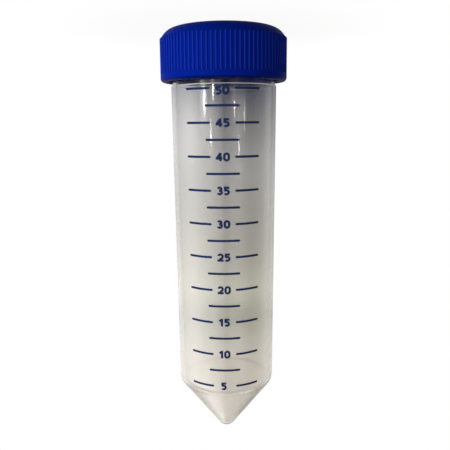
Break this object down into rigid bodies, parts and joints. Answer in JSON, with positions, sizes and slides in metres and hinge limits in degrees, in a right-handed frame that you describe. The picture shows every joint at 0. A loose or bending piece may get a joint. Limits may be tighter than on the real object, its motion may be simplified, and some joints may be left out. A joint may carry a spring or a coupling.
{
  "type": "50 ml conical tube",
  "caption": "Closed conical-bottom laboratory tube of translucent plastic with a printed volume scale and a ribbed screw cap, standing on its cap.",
  "frame": {"origin": "middle of the cap's flat top, the face the closed tube stands on", "axes": "+Z along the tube's axis from the cap to the tip; the printed scale faces -Y"},
  "size_m": [0.035, 0.035, 0.1178],
  "materials": {
    "tube_plastic": "translucent natural polypropylene, slightly milky",
    "cap_plastic": "deep blue polyethylene, semi-gloss",
    "scale_ink": "dark blue printing ink"
  },
  "bodies": {
    "cap": {"cap": "cap_plastic"},
    "tube": {"tube": "tube_plastic"}
  },
  "joints": [
    {"name": "tube_lift", "type": "slide", "parent": "cap", "child": "tube", "axis": [0, 0, 1], "range_m": [0, 0.035]}
  ]
}
